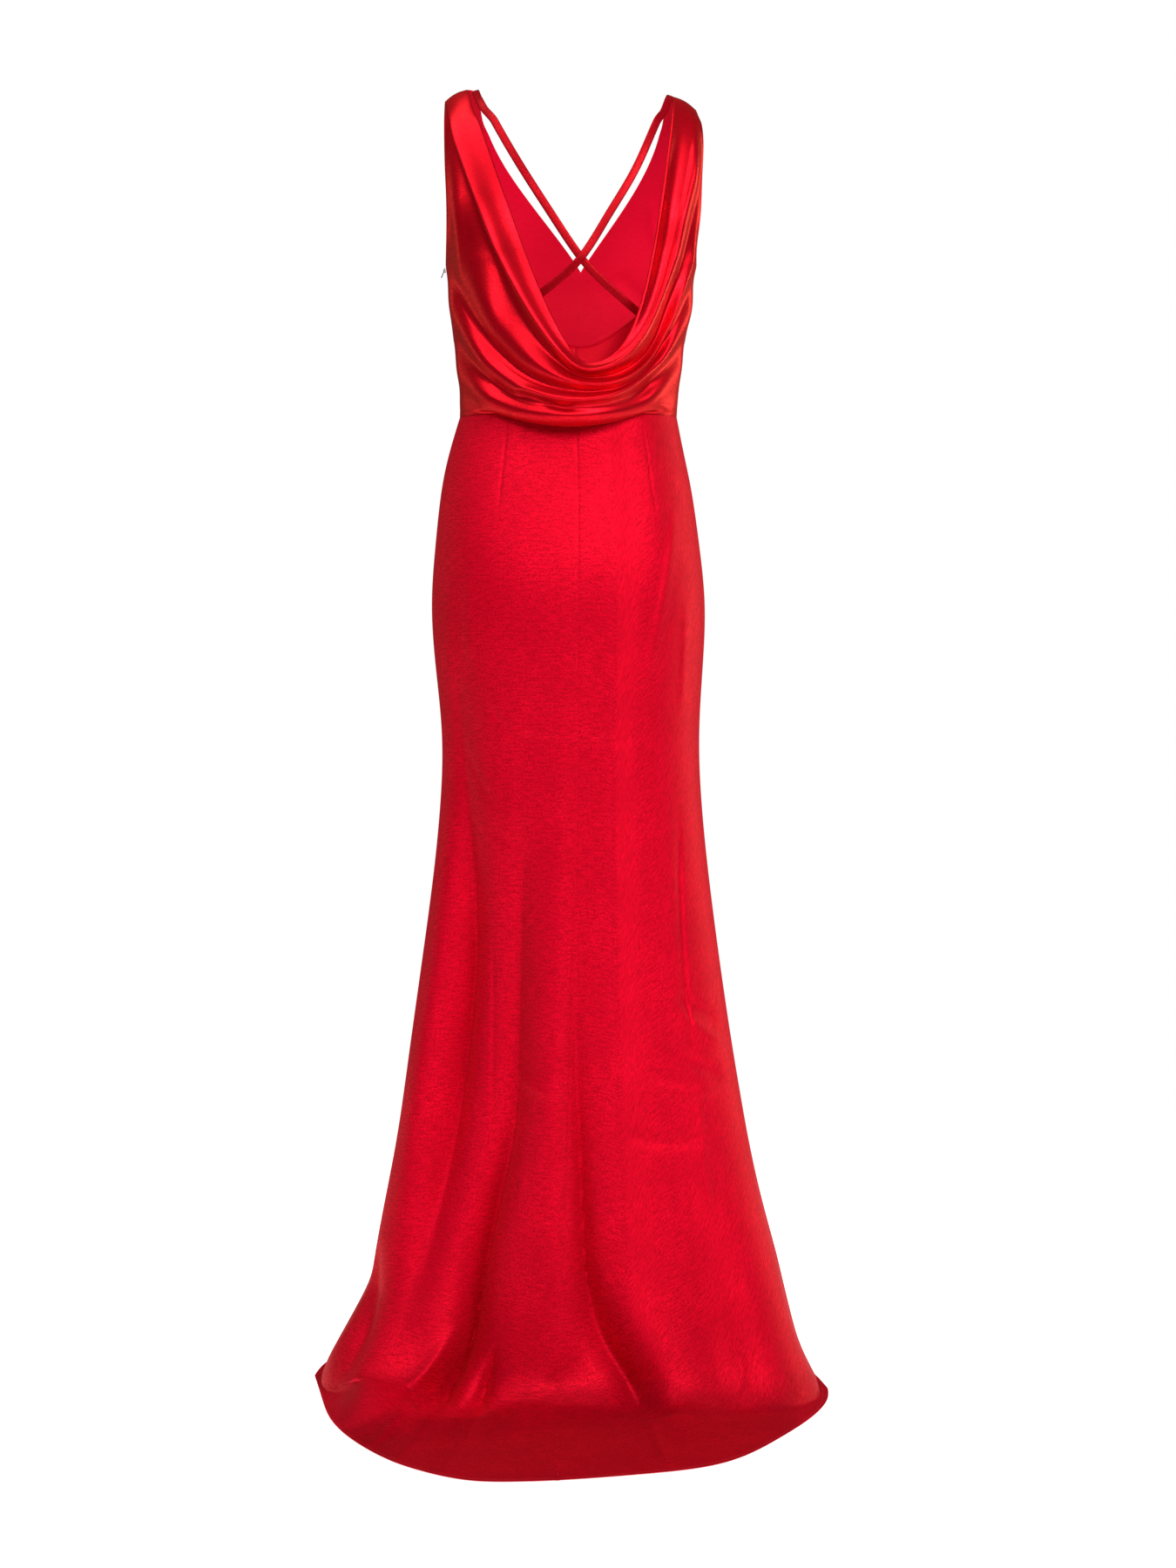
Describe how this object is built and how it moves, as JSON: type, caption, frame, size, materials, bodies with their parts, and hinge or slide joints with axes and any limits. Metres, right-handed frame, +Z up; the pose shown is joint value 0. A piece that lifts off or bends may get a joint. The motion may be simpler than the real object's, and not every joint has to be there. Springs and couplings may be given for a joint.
{
  "type": "cowl-back maxi dress",
  "caption": "Floor-length sleeveless satin evening dress with a draped cowl back, crossed narrow straps, V-necked front and a small train.",
  "frame": {"origin": "midway between the two shoulder seams, where the wearer's shoulders hold the dress", "axes": "+Z up, +Y the wearer's front, +X the wearer's right"},
  "size_m": [0.5902, 0.6607, 1.4864],
  "materials": {
    "satin_front": "red satin-back crepe, soft sheen, matte inside",
    "satin_cowl": "red bias-cut satin, soft sheen on the folds",
    "satin_under_back": "red satin, soft sheen",
    "satin_strap": "red satin strap, soft sheen",
    "satin_skirt": "red satin-back crepe, fine grain, soft sheen",
    "zip_metal": "dark worn metal"
  },
  "bodies": {
    "dress": {"front_bodice": "satin_front", "cowl_back": "satin_cowl", "under_back_left": "satin_under_back", "under_back_right": "satin_under_back", "strap_left": "satin_strap", "strap_right": "satin_strap", "skirt_front": "satin_skirt", "skirt_back_left": "satin_skirt", "skirt_back_right": "satin_skirt", "zip_slider": "zip_metal"},
    "zip_pull": {"zip_pull": "zip_metal"}
  },
  "joints": [
    {"name": "zip_pull_swing", "type": "hinge", "parent": "dress", "child": "zip_pull", "pos_m": [-0.14406, 0, -0.2015], "axis": [0, 1, 0], "range_deg": [-30, 110]}
  ]
}
